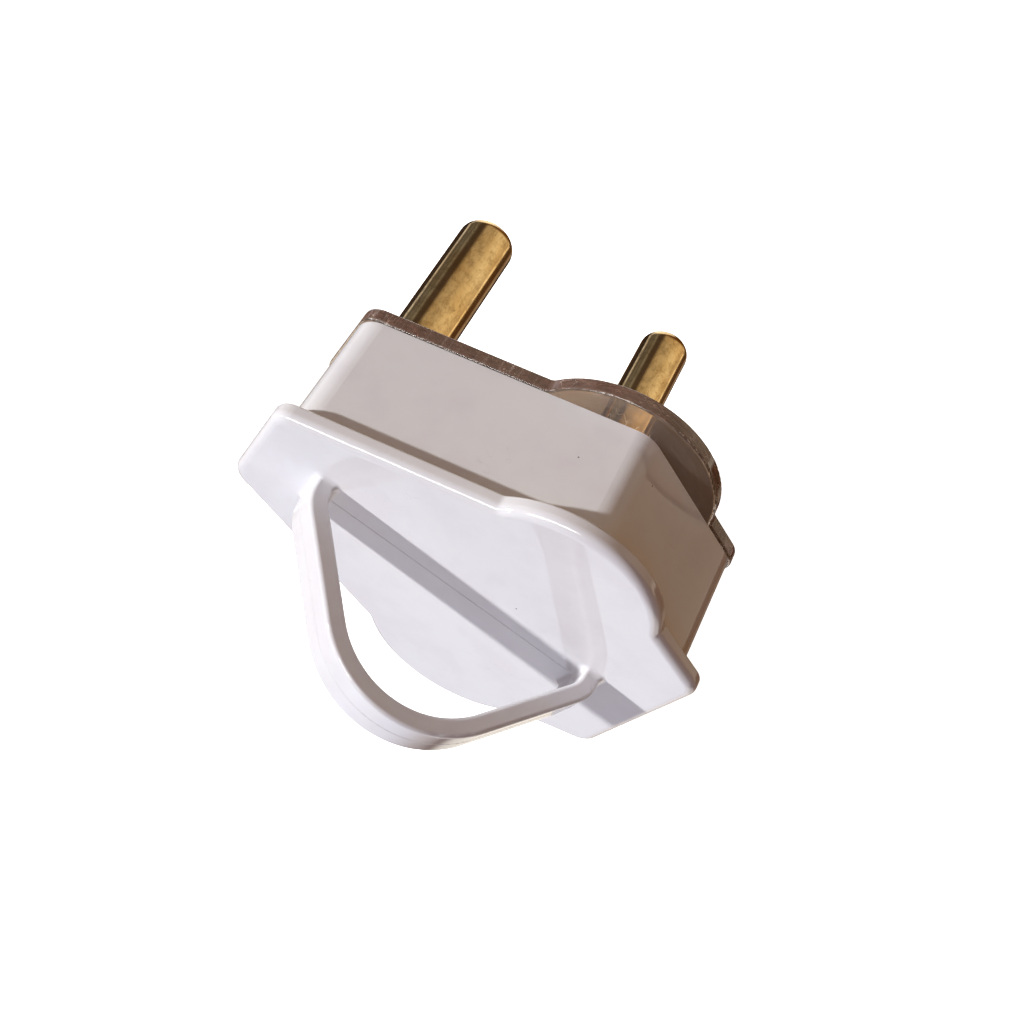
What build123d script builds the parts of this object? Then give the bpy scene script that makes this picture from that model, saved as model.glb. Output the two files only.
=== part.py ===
from build123d import *
import math
import os

# Rewirable three-pin plug top with round pins: a white moulded cover with a pull loop,
# and a clear pin plate that carries three solid brass pins.
# Millimetres. The origin lies on the socket side of the pin plate, midway between the two
# line pins. +Y is the way the pins point, +Z runs up to the earth pin, +X is the live side.

# Pins
line_pin_spacing = 25.4
earth_pin_rise = 28.6
earth_pin_diameter = 8.7
line_pin_diameter = 7.05
earth_pin_length = 29.4
line_pin_length = 22.7
pin_tip_round = 2.2
pin_seat_step = 0.25
pin_hole_clearance = 0.08
head_step = 0.65
head_flat_depth = 0.6
head_length = 11.4
head_chamfer = 0.4

# Outline that the flange and the pin plate share
top_margin = 10.3
cord_end_drop = 24.8
top_half_width = 9.2
widest_half_width = 26.4
widest_drop = 1.0
cord_end_half_width = 14.3
lobe_overhang = 1.3
lobe_drop = 1.2
corner_round = 3.2
lobe_notch_round = 1.4

# Cover
total_depth = 23.5
flange_thickness = 2.6
flange_back_round = 1.3
flange_front_round = 0.4
wall_inset = 2.25
wall_thickness = 1.9
wall_corner_round = 4.2

# Pull loop
loop_span = 45.6
loop_reach = 21.8
loop_centre_height = 6.8
loop_width = 7.6
loop_thickness = 2.6
loop_lean_degrees = 39.6
loop_knee_height = 3.2
loop_knee_round = 6.0
loop_edge_round = 0.55
loop_foot_round = 0.9

# Pin plate
plate_thickness = 2.3
plate_inset = 2.0
plate_edge_round = 0.4
spigot_clearance = 0.15
spigot_width = 1.2
spigot_height = 2.0
collar_clearance = 0.1
collar_width = 0.9
collar_height = 3.6

# Terminals in the pin heads
wire_hole_diameter = 3.6
wire_hole_setback = 4.6
terminal_screw_diameter = 3.6
terminal_screw_head_diameter = 5.6
terminal_screw_head_height = 2.2
terminal_screw_length = 4.4
terminal_screw_lift = 0.15
terminal_bore_spare = 0.4
thread_clearance = 0.05
screw_chamfer = 0.4
screw_head_round = 0.5
slot_width = 0.9
slot_depth = 0.9
slot_turn = 30

# Posts in the cover that hold the pins down, and its ribs
post_bore_clearance = 0.4
post_gap = 0.25
barrier_thickness = 1.4
barrier_gap = 4.5
barrier_drop = 6.5
earth_core_room = 6.0
rib_thickness = 1.2

# Cover screws and their moulded-in threaded inserts
cover_screw_half_spacing = 10.6
cover_screw_rise = 11.0
cover_screw_diameter = 3.5
cover_screw_length = 12.0
cover_screw_head_diameter = 6.4
cover_screw_hole_clearance = 0.25
cover_boss_diameter = 7.8
insert_diameter = 5.4
insert_length = 7.0
insert_groove_depth = 0.35
insert_groove_width = 1.2
countersink_clearance = 0.05

# Cord inlet and cord grip
cord_hole_diameter = 10.0
cord_depth = 11.7
grip_rise = 7.0
grip_screw_half_spacing = 9.2
grip_bar_width = 6.0
grip_bar_thickness = 2.2
grip_bar_end = 3.0
grip_bar_round = 1.0
grip_bar_offset = 0.4
grip_arch_diameter = 9.0
pillar_diameter = 5.6
saddle_width = 9.0
saddle_rib_thickness = 1.4
saddle_height = 6.6
grip_screw_diameter = 2.9
grip_screw_bite = 6.5
grip_screw_head_diameter = 5.0
grip_screw_head_height = 1.9
grip_hole_clearance = 0.2
grip_hole_spare = 1.0

# Distance within which two places count as the same
tolerance = 0.01

# Levels along the plug, all behind the socket side of the plate
plate_inner = -plate_thickness
back = -total_depth
flange_front = back + flange_thickness
head_back = plate_inner - head_length
wire_hole_level = head_back + wire_hole_setback
terminal_screw_tip = wire_hole_level - wire_hole_diameter / 2 - terminal_screw_lift
terminal_screw_seat = terminal_screw_tip - terminal_screw_length
grip_seat = grip_bar_offset - cord_depth
grip_bar_back = grip_seat - grip_bar_thickness

# Heights
top = earth_pin_rise + top_margin
cord_end = -cord_end_drop
cover_inset = wall_inset + wall_thickness
grip_height = cord_end + cover_inset + grip_rise
loop_top = loop_centre_height + loop_span / 2
loop_bottom = loop_centre_height - loop_span / 2

# Lobes, centred near the line pins and standing out past the widest corners
half_spacing = line_pin_spacing / 2
lobe_radius = widest_half_width - half_spacing + lobe_overhang

# Pins: name, x, z, diameter, length
pins = {
    "earth": (0, earth_pin_rise, earth_pin_diameter, earth_pin_length),
    "live": (half_spacing, 0, line_pin_diameter, line_pin_length),
    "neutral": (-half_spacing, 0, line_pin_diameter, line_pin_length),
}
sides = {"live_side": 1, "neutral_side": -1}
cover_screw_places = [(side * cover_screw_half_spacing, cover_screw_rise) for side in sides.values()]
grip_screw_places = [(side * grip_screw_half_spacing, grip_height) for side in sides.values()]


def across(y):
    """Plane across the plug at y: sketch x is +X, sketch y is +Z, extruding goes to the back."""
    return Plane.XZ.offset(-y)


def along(x, z):
    """Plane through an axis that is parallel to the pins: sketch x is +Y, sketch y is +Z."""
    return Plane(origin=(x, 0, z), x_dir=(0, 1, 0), z_dir=(1, 0, 0))


def pin_axis(x, z):
    """Axis parallel to the pins, pointing to the socket."""
    return Axis((x, 0, z), (0, 1, 0))


def tapered_hexagon(inset, round_radius):
    """Six-sided outline, narrow at the earth pin, moved in by inset, with round corners."""
    with BuildLine() as outline:
        Polyline(
            (top_half_width, top),
            (widest_half_width, -widest_drop),
            (cord_end_half_width, cord_end),
            (-cord_end_half_width, cord_end),
            (-widest_half_width, -widest_drop),
            (-top_half_width, top),
            close=True,
        )
    make_face(outline.edges())
    if inset:
        offset(amount=-inset, kind=Kind.INTERSECTION)
    fillet(vertices(), round_radius)


def lobed_outline(inset):
    """The hexagon with a round lobe at each line pin, and the notches between them eased."""
    tapered_hexagon(inset, corner_round)
    with Locations((half_spacing, -lobe_drop), (-half_spacing, -lobe_drop)):
        Circle(lobe_radius)
    notches = [v for v in vertices() if abs(lobe_distance(v) - lobe_radius) < tolerance]
    fillet(notches, lobe_notch_round)


def lobe_distance(vertex):
    """Distance in the sketch from the nearer lobe's centre."""
    return math.hypot(abs(vertex.X) - half_spacing, vertex.Y + lobe_drop)


def head_outline(diameter, clearance):
    """Round pin head with one flat on the cord's side, grown by clearance."""
    radius = diameter / 2 + head_step + clearance
    flat_height = diameter / 2 + head_step - head_flat_depth + clearance
    Circle(radius)
    with Locations((0, -flat_height)):
        Rectangle(2 * radius, radius, align=(Align.CENTER, Align.MAX), mode=Mode.SUBTRACT)


def cut_slot(x, z, level, depth, head_diameter):
    """Screwdriver slot in a head whose face is at level; a positive depth cuts to the back."""
    with BuildSketch(across(level)) as slot:
        with Locations((x, z)):
            Rectangle(2 * head_diameter, slot_width, rotation=slot_turn)
    extrude(slot.sketch, amount=depth, mode=Mode.SUBTRACT)


def turned(x, z, profile):
    """Solid turned about the axis through x, z, from points of (level along Y, radius)."""
    with BuildSketch(along(x, z)) as half_section:
        with BuildLine():
            Polyline(*profile, close=True)
        make_face()
    revolve(half_section.sketch, axis=pin_axis(x, z))


def at_loop_foot(edge):
    """Whether an edge lies where a leg of the pull loop meets the flange."""
    middle = edge.center()
    on_flange = abs(middle.Y - back) < tolerance
    under_strap = abs(middle.X) < loop_width and loop_bottom - tolerance < middle.Z < loop_top + tolerance
    return on_flange and under_strap


os.makedirs("parts", exist_ok=True)

# Cover: flange, walls, posts, bosses, barrier and pull loop, moulded as one piece
with BuildPart() as body_shell:
    with BuildSketch(across(flange_front)):
        lobed_outline(0)
    extrude(amount=flange_thickness)
    fillet(body_shell.faces().sort_by(Axis.Y)[0].edges(), flange_back_round)
    fillet(body_shell.faces().sort_by(Axis.Y)[-1].edges(), flange_front_round)

    with BuildSketch(across(flange_front)):
        tapered_hexagon(wall_inset, wall_corner_round)
        offset(amount=-wall_thickness, mode=Mode.SUBTRACT)
    extrude(amount=flange_front - plate_inner)

    # Posts that press the pin heads onto the plate, each with room for its terminal screw
    with BuildSketch(across(flange_front)):
        for x, z, diameter, length in pins.values():
            with Locations((x, z)):
                Circle(diameter / 2 + head_step)
                Circle(terminal_screw_head_diameter / 2 + post_bore_clearance, mode=Mode.SUBTRACT)
    extrude(amount=flange_front - head_back + post_gap)

    # A rib from each line pin's post to the side wall
    rib_start = half_spacing + line_pin_diameter / 2 + head_step / 2
    rib_end = widest_half_width - cover_inset
    with BuildSketch(across(flange_front)):
        with Locations(((rib_start + rib_end) / 2, 0), (-(rib_start + rib_end) / 2, 0)):
            Rectangle(rib_end - rib_start, rib_thickness)
    extrude(amount=flange_front - head_back + post_gap)

    # Barrier that keeps the live and neutral cores apart, and ends where the earth core turns to its pin
    barrier_top = earth_pin_rise - earth_pin_diameter / 2 - head_step - earth_core_room
    with BuildSketch(across(flange_front)):
        with Locations((0, (barrier_top - barrier_drop) / 2)):
            Rectangle(barrier_thickness, barrier_top + barrier_drop)
    extrude(amount=flange_front - plate_inner + barrier_gap)

    # Bosses for the cover screws, with the insert seats moulded round the inserts
    with BuildSketch(across(flange_front)):
        with Locations(*cover_screw_places):
            Circle(cover_boss_diameter / 2)
    extrude(amount=flange_front - plate_inner)
    with BuildSketch(across(plate_inner)):
        with Locations(*cover_screw_places):
            Circle(insert_diameter / 2)
    extrude(amount=insert_length, mode=Mode.SUBTRACT)
    with BuildSketch(across(plate_inner)):
        with Locations(*cover_screw_places):
            Circle(cover_screw_diameter / 2 + cover_screw_hole_clearance)
    extrude(amount=cover_screw_length, mode=Mode.SUBTRACT)

    # Cord inlet through the wall at the cord end
    with BuildSketch(Plane.XY.offset(cord_end)):
        with Locations((0, -cord_depth)):
            Circle(cord_hole_diameter / 2)
    extrude(amount=cover_inset + wall_thickness, mode=Mode.SUBTRACT)

    # Pull loop: a flat strap with two legs that lean in to a round nose
    lean = math.radians(loop_lean_degrees)
    knee = back - loop_knee_height
    peak = knee - loop_span / 2 / math.tan(lean)
    nose_round = (back - loop_reach - peak) / (1 / math.sin(lean) - 1)
    sunk = back + loop_thickness
    with BuildSketch(Plane.YZ):
        with BuildLine():
            FilletPolyline(
                (sunk, loop_top),
                (knee, loop_top),
                (peak, loop_centre_height),
                (knee, loop_bottom),
                (sunk, loop_bottom),
                radius=[loop_knee_round, nose_round, loop_knee_round],
            )
            Line((sunk, loop_bottom), (sunk, loop_top))
        make_face()
        offset(amount=-loop_thickness, kind=Kind.INTERSECTION, mode=Mode.SUBTRACT)
    extrude(amount=loop_width / 2, both=True)

    strap_sides = body_shell.faces().filter_by(Axis.X).filter_by(lambda f: f.center().Y < back)
    strap_edges = strap_sides.edges().filter_by(lambda e: e.center().Y < back - tolerance)
    fillet(strap_edges, loop_edge_round)
    foot_edges = body_shell.edges().filter_by(at_loop_foot)
    fillet(foot_edges, loop_foot_round)
body_shell.part.label = "body_shell"
export_step(body_shell.part, "parts/body_shell.step")

# Clear plate with the collars of the pin heads, its locating spigot and the cord saddle
with BuildPart() as pin_plate:
    with BuildSketch(across(plate_inner)):
        lobed_outline(plate_inset)
    extrude(amount=-plate_thickness)
    fillet(pin_plate.faces().sort_by(Axis.Y)[-1].edges(), plate_edge_round)
    fillet(pin_plate.faces().sort_by(Axis.Y)[0].edges(), plate_edge_round)

    spigot_inset = cover_inset + spigot_clearance
    spigot_round = wall_corner_round - wall_thickness
    with BuildSketch(across(plate_inner)):
        tapered_hexagon(spigot_inset, spigot_round)
        offset(amount=-spigot_width, mode=Mode.SUBTRACT)
    extrude(amount=spigot_height)

    with BuildSketch(across(plate_inner)):
        for x, z, diameter, length in pins.values():
            with Locations((x, z)):
                Circle(diameter / 2 + head_step + collar_clearance + collar_width)
    extrude(amount=collar_height)
    for x, z, diameter, length in pins.values():
        with BuildSketch(across(plate_inner)):
            with Locations((x, z)):
                head_outline(diameter, collar_clearance)
        extrude(amount=collar_height, mode=Mode.SUBTRACT)
        with BuildSketch(across(plate_inner)):
            with Locations((x, z)):
                Circle(diameter / 2 + pin_seat_step + pin_hole_clearance)
        extrude(amount=-plate_thickness, mode=Mode.SUBTRACT)

    # Countersunk holes for the cover screws, sunk from the socket side
    with Locations(*[Plane(origin=(x, 0, z), z_dir=(0, 1, 0)) for x, z in cover_screw_places]):
        CounterSinkHole(
            radius=cover_screw_diameter / 2 + cover_screw_hole_clearance,
            counter_sink_radius=cover_screw_head_diameter / 2,
            counter_sink_angle=90,
        )

    # Pillars and ribbed saddle of the cord grip
    with BuildSketch(across(plate_inner)):
        with Locations(*grip_screw_places):
            Circle(pillar_diameter / 2)
    extrude(amount=plate_inner - grip_seat)
    rib_half_spacing = (grip_bar_width - saddle_rib_thickness) / 2
    with BuildSketch(across(plate_inner)):
        with Locations((0, grip_height + rib_half_spacing), (0, grip_height - rib_half_spacing)):
            Rectangle(saddle_width, saddle_rib_thickness)
    extrude(amount=saddle_height)
    with BuildSketch(Plane.XY.offset(grip_height - grip_bar_width / 2)):
        with Locations((0, -cord_depth)):
            Circle(grip_arch_diameter / 2)
    extrude(amount=grip_bar_width, mode=Mode.SUBTRACT)
    with BuildSketch(across(grip_seat)):
        with Locations(*grip_screw_places):
            Circle(grip_screw_diameter / 2 + thread_clearance)
    extrude(amount=-grip_screw_bite - grip_hole_spare, mode=Mode.SUBTRACT)
pin_plate.part.label = "pin_plate"
export_step(pin_plate.part, "parts/pin_plate.step")

# Solid brass pins: a round-tipped shank, a seat in the plate, and a head with a wire hole and a tapped end
for name, (x, z, diameter, length) in pins.items():
    with BuildPart() as pin:
        radius = diameter / 2
        seat = radius + pin_seat_step
        turned(x, z, [
            (plate_inner, 0),
            (plate_inner, seat),
            (0, seat),
            (0, radius),
            (length, radius),
            (length, 0),
        ])
        fillet(pin.faces().sort_by(Axis.Y)[-1].edges(), pin_tip_round)
        with BuildSketch(across(plate_inner)):
            with Locations((x, z)):
                head_outline(diameter, 0)
        extrude(amount=head_length)
        chamfer(pin.faces().sort_by(Axis.Y)[0].edges(), head_chamfer)
        with BuildSketch(across(head_back)):
            with Locations((x, z)):
                Circle(terminal_screw_diameter / 2 + thread_clearance)
        extrude(amount=-wire_hole_setback - terminal_bore_spare, mode=Mode.SUBTRACT)
        with BuildSketch(Plane.XY.offset(z)):
            with Locations((x, wire_hole_level)):
                Circle(wire_hole_diameter / 2)
        extrude(amount=diameter, both=True, mode=Mode.SUBTRACT)
    pin.part.label = name + "_pin"
    export_step(pin.part, "parts/" + name + "_pin.step")

# Terminal screws, cheese head, one in the tapped end of each pin, backed off to leave the wire hole free
for name, (x, z, diameter, length) in pins.items():
    with BuildPart() as screw:
        head_radius = terminal_screw_head_diameter / 2
        screw_radius = terminal_screw_diameter / 2
        head_top = terminal_screw_seat - terminal_screw_head_height
        turned(x, z, [
            (head_top, 0),
            (head_top, head_radius),
            (terminal_screw_seat, head_radius),
            (terminal_screw_seat, screw_radius),
            (terminal_screw_tip - screw_chamfer, screw_radius),
            (terminal_screw_tip, screw_radius - screw_chamfer),
            (terminal_screw_tip, 0),
        ])
        fillet(screw.faces().sort_by(Axis.Y)[0].edges(), screw_head_round)
        cut_slot(x, z, head_top, -slot_depth, terminal_screw_head_diameter)
    screw.part.label = name + "_terminal_screw"
    export_step(screw.part, "parts/" + name + "_terminal_screw.step")

# Cover screws, flush countersunk heads on the socket side, and the inserts they pull on
for name, side in sides.items():
    x = side * cover_screw_half_spacing
    z = cover_screw_rise
    with BuildPart() as screw:
        head_radius = cover_screw_head_diameter / 2 - countersink_clearance
        screw_radius = cover_screw_diameter / 2
        turned(x, z, [
            (0, 0),
            (0, head_radius),
            (screw_radius - head_radius, screw_radius),
            (screw_chamfer - cover_screw_length, screw_radius),
            (-cover_screw_length, screw_radius - screw_chamfer),
            (-cover_screw_length, 0),
        ])
        cut_slot(x, z, 0, slot_depth, cover_screw_head_diameter)
    screw.part.label = "cover_screw_" + name
    export_step(screw.part, "parts/cover_screw_" + name + ".step")

    with BuildPart() as insert:
        outer = insert_diameter / 2
        bore = cover_screw_diameter / 2 + thread_clearance
        middle = plate_inner - insert_length / 2
        turned(x, z, [
            (plate_inner, bore),
            (plate_inner, outer),
            (middle + insert_groove_width / 2, outer),
            (middle + insert_groove_width / 2, outer - insert_groove_depth),
            (middle - insert_groove_width / 2, outer - insert_groove_depth),
            (middle - insert_groove_width / 2, outer),
            (plate_inner - insert_length, outer),
            (plate_inner - insert_length, bore),
        ])
    insert.part.label = "cover_insert_" + name
    export_step(insert.part, "parts/cover_insert_" + name + ".step")

# Cord grip bar: two flat ends on the pillars and an arch over the cord
grip_bar_length = 2 * (grip_screw_half_spacing + grip_bar_end)
with BuildPart() as cord_grip_bar:
    with BuildSketch(Plane.XY.offset(grip_height - grip_bar_width / 2)):
        with Locations((0, grip_seat)):
            Rectangle(grip_bar_length, grip_bar_thickness, align=(Align.CENTER, Align.MAX))
        with Locations((0, -cord_depth)):
            Circle(grip_arch_diameter / 2 + grip_bar_thickness)
        with Locations((0, grip_seat)):
            Rectangle(
                grip_bar_length,
                grip_arch_diameter,
                align=(Align.CENTER, Align.MIN),
                mode=Mode.SUBTRACT,
            )
        with Locations((0, -cord_depth)):
            Circle(grip_arch_diameter / 2, mode=Mode.SUBTRACT)
    extrude(amount=grip_bar_width)
    bar_ends = cord_grip_bar.edges().filter_by(Axis.Y)
    fillet(bar_ends, grip_bar_round)
    with BuildSketch(across(grip_seat)):
        with Locations(*grip_screw_places):
            Circle(grip_screw_diameter / 2 + grip_hole_clearance)
    extrude(amount=grip_bar_thickness, mode=Mode.SUBTRACT)
cord_grip_bar.part.label = "cord_grip_bar"
export_step(cord_grip_bar.part, "parts/cord_grip_bar.step")

# Screws that draw the grip bar onto the cord
for name, side in sides.items():
    x = side * grip_screw_half_spacing
    with BuildPart() as screw:
        head_radius = grip_screw_head_diameter / 2
        screw_radius = grip_screw_diameter / 2
        head_top = grip_bar_back - grip_screw_head_height
        tip = grip_seat + grip_screw_bite
        turned(x, grip_height, [
            (head_top, 0),
            (head_top, head_radius),
            (grip_bar_back, head_radius),
            (grip_bar_back, screw_radius),
            (tip - screw_chamfer, screw_radius),
            (tip, screw_radius - screw_chamfer),
            (tip, 0),
        ])
        fillet(screw.faces().sort_by(Axis.Y)[0].edges(), screw_head_round)
        cut_slot(x, grip_height, head_top, -slot_depth, grip_screw_head_diameter)
    screw.part.label = "grip_screw_" + name
    export_step(screw.part, "parts/grip_screw_" + name + ".step")
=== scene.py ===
"""Looks of the three-pin plug top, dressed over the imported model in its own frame, in metres.

The cover is a glossy white moulding, the pin plate a smoked clear one, and the pins are solid brass. +Y is
the way the pins point, +Z runs up to the earth pin and +X is the live side.
"""

import logging
from dataclasses import dataclass
from enum import Enum

import bpy
import numpy as np
from mathutils import Matrix, Vector


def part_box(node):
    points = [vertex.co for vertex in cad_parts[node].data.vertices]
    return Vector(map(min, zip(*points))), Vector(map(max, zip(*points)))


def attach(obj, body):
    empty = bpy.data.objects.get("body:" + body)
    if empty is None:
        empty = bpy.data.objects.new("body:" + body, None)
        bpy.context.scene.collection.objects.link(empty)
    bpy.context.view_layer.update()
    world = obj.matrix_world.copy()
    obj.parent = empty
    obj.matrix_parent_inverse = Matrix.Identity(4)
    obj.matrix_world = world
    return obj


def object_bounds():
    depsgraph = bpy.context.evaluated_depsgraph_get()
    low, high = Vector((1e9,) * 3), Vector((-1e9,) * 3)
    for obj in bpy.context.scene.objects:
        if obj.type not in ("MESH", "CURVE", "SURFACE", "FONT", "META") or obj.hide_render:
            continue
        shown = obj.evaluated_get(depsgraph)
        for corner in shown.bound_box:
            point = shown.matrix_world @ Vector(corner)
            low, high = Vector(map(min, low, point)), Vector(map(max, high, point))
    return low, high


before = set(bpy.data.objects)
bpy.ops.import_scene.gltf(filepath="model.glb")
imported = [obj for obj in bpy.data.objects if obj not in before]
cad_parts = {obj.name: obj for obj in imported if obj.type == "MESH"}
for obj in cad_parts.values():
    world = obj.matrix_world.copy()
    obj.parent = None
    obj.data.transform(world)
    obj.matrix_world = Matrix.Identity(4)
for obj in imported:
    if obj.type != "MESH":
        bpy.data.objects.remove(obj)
CAD_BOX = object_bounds()

MM = 0.001
LOG = logging.getLogger("plug_top")

Colour = tuple[float, float, float, float]
Triple = tuple[float, float, float]
Socket = bpy.types.NodeSocket

# Options that many nodes share
SMOOTH = {"interpolation_type": "SMOOTHSTEP"}
COLOURS = {"data_type": "RGBA"}


def to_linear(hex_colour: str) -> Colour:
    """Turns an sRGB colour into the linear colour that the shaders take.

    Args:
        hex_colour: Six hex digits, such as "c8a050".

    Returns:
        Linear red, green, blue and an alpha of one.
    """
    parts = np.array([int(hex_colour[i : i + 2], 16) for i in (0, 2, 4)]) / 255
    linear = np.where(parts <= 0.04045, parts / 12.92, ((parts + 0.055) / 1.055) ** 2.4)
    return (float(linear[0]), float(linear[1]), float(linear[2]), 1.0)


@dataclass(frozen=True)
class Ramp:
    """A rise or fall that a value is put through.

    Attributes:
        start: Value at which it begins.
        end: Value at which it is over.
        low: What it gives at the start.
        high: What it gives at the end.
    """

    start: float
    end: float
    low: float = 0.0
    high: float = 1.0

    @property
    def inputs(self) -> dict[str, float]:
        """The inputs of the node that maps a range."""
        return {"From Min": self.start, "From Max": self.end, "To Min": self.low, "To Max": self.high}


@dataclass(frozen=True)
class Clouds:
    """A cloudy pattern.

    Attributes:
        lengths: Length of one cloud along each axis, in millimetres.
        detail: Octaves of finer clouds.
        coarse: Weight of the finer clouds.
        folds: How far the clouds are folded into each other.
    """

    lengths: Triple
    detail: float = 2.0
    coarse: float = 0.5
    folds: float = 0.0


@dataclass(frozen=True)
class Specks:
    """Small round marks at random places.

    Attributes:
        spacing: Average distance between the places, in millimetres.
        radius: Radius of a mark, in millimetres.
        share: Share of the places that have a mark.
        core: Share of the radius within which a mark is at its full strength.
    """

    spacing: float
    radius: float
    share: float
    core: float = 0.55


@dataclass(frozen=True)
class Hairlines:
    """Fine scratches in patches.

    Attributes:
        spacing: Distance between scratches, in millimetres.
        width: Share of that distance that a scratch takes.
        stretch: How many times longer the pattern is along each axis.
        turn: Turn of the pattern about each axis, in radians.
        bare: Share of the surface without any.
        fade: Share of the surface over which a patch of them fades.
        patch: Size of a patch, in spacings.
    """

    spacing: float
    width: float
    stretch: Triple
    turn: Triple
    bare: float = 0.55
    fade: float = 0.08
    patch: float = 5.0


@dataclass(frozen=True)
class Relief:
    """A surface that rises and falls with a cloudy pattern.

    Attributes:
        pattern: The pattern.
        depth: Height from the pattern's lowest to its highest value, in millimetres.
    """

    pattern: Clouds
    depth: float


class NodeGraph:
    """The nodes of a material or a world, added one at a time."""

    def __init__(self, tree: bpy.types.NodeTree) -> None:
        """Empties the node tree.

        Args:
            tree: Node tree of the material or world.
        """
        self.tree = tree
        tree.nodes.clear()

    def add(
        self, kind: str, inputs: dict[str | int, object] | None = None, out: str | int = 0, **settings: object
    ) -> Socket | None:
        """Adds a node with its settings and links.

        Args:
            kind: The node's type, without the "ShaderNode" that starts its full name.
            inputs: A socket, number, vector or colour for each input that is set, by its name or place.
            out: The output to hand back, by its name or place.
            **settings: The node's own options.

        Returns:
            That output, or None for a node that has none.
        """
        node = self.tree.nodes.new("ShaderNode" + kind)
        for option, value in settings.items():
            setattr(node, option, value)
        for place, value in (inputs or {}).items():
            if isinstance(value, Socket):
                self.tree.links.new(value, node.inputs[place])
            else:
                node.inputs[place].default_value = value
        return node.outputs[out] if len(node.outputs) else None


class FinishGraph(NodeGraph):
    """A material's nodes, with patterns in millimetres of the real object."""

    def __init__(self, name: str) -> None:
        """Makes an empty material and the object's own coordinates in millimetres.

        Args:
            name: The material's name.
        """
        self.material = bpy.data.materials.new(name)
        self.material.use_nodes = True
        super().__init__(self.material.node_tree)
        place = self.add("TexCoord", out="Object")
        self.millimetres = self.add("VectorMath", {0: place, 1: (1 / MM,) * 3}, operation="MULTIPLY")

    def clouds(self, pattern: Clouds) -> Socket:
        """Draws a cloudy pattern.

        Args:
            pattern: The pattern.

        Returns:
            Its value, from 0 to 1.
        """
        stretched = self.add("VectorMath", {0: self.millimetres, 1: pattern.lengths}, operation="DIVIDE")
        sizes = {"Detail": pattern.detail, "Roughness": pattern.coarse, "Distortion": pattern.folds}
        return self.add("TexNoise", {"Vector": stretched, "Scale": 1.0, **sizes}, "Fac")

    def specks(self, marks: Specks) -> Socket:
        """Draws small round marks.

        Args:
            marks: The marks.

        Returns:
            1 inside a mark, 0 elsewhere.
        """
        spread = self.add("VectorMath", {0: self.millimetres, 1: (marks.spacing,) * 3}, operation="DIVIDE")
        distance = self.add("TexVoronoi", {"Vector": spread, "Scale": 1.0}, "Distance")
        number = self.add("TexVoronoi", {"Vector": spread, "Scale": 1.0}, "Color")
        edge = Ramp(marks.radius / marks.spacing, marks.core * marks.radius / marks.spacing)
        near = self.add("MapRange", {"Value": distance, **edge.inputs}, **SMOOTH)
        red = self.add("SeparateColor", {"Color": number}, "Red")
        chosen = self.add("Math", {0: red, 1: marks.share}, operation="LESS_THAN")
        return self.add("Math", {0: near, 1: chosen}, operation="MULTIPLY")

    def hairlines(self, marks: Hairlines) -> Socket:
        """Draws fine scratches where a stretched cloud pattern crosses its middle value.

        Args:
            marks: The scratches.

        Returns:
            1 on a scratch, 0 elsewhere.
        """
        lengths = tuple(marks.spacing * part for part in marks.stretch)
        fitted = {"Vector": self.millimetres, "Rotation": marks.turn, "Scale": lengths}
        turned = self.add("Mapping", fitted, vector_type="TEXTURE")
        value = self.add("TexNoise", {"Vector": turned, "Scale": 1.0, "Detail": 1.0}, "Fac")
        offset = self.add("Math", {0: value, 1: 0.5}, operation="SUBTRACT")
        distance = self.add("Math", {0: offset}, operation="ABSOLUTE")
        line = self.add("MapRange", {"Value": distance, **Ramp(marks.width, 0.0).inputs}, **SMOOTH)
        places = self.clouds(Clouds((marks.spacing * marks.patch,) * 3, 1.0))
        limits = Ramp(marks.bare, marks.bare + marks.fade)
        shown = self.add("MapRange", {"Value": places, **limits.inputs}, **SMOOTH)
        return self.add("Math", {0: line, 1: shown}, operation="MULTIPLY")

    def relief(self, *layers: Relief) -> Socket:
        """Bends the surface by one layer of relief after another.

        Args:
            *layers: The layers.

        Returns:
            The bent normal.
        """
        bent: dict[str, Socket] = {}
        for layer in layers:
            height = self.clouds(layer.pattern)
            sizes = {"Strength": 1.0, "Distance": layer.depth * MM, "Height": height}
            bent = {"Normal": self.add("Bump", {**sizes, **bent}, "Normal")}
        return bent["Normal"]

    def made(self, **inputs: object) -> bpy.types.Material:
        """Ends the material with its surface shader.

        Args:
            **inputs: A socket, number or colour for each input, named with _ for each space.

        Returns:
            The finished material.
        """
        named = {place.replace("_", " "): value for place, value in inputs.items()}
        surface = self.add("BsdfPrincipled", named, "BSDF")
        self.add("OutputMaterial", {"Surface": surface})
        return self.material


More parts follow.
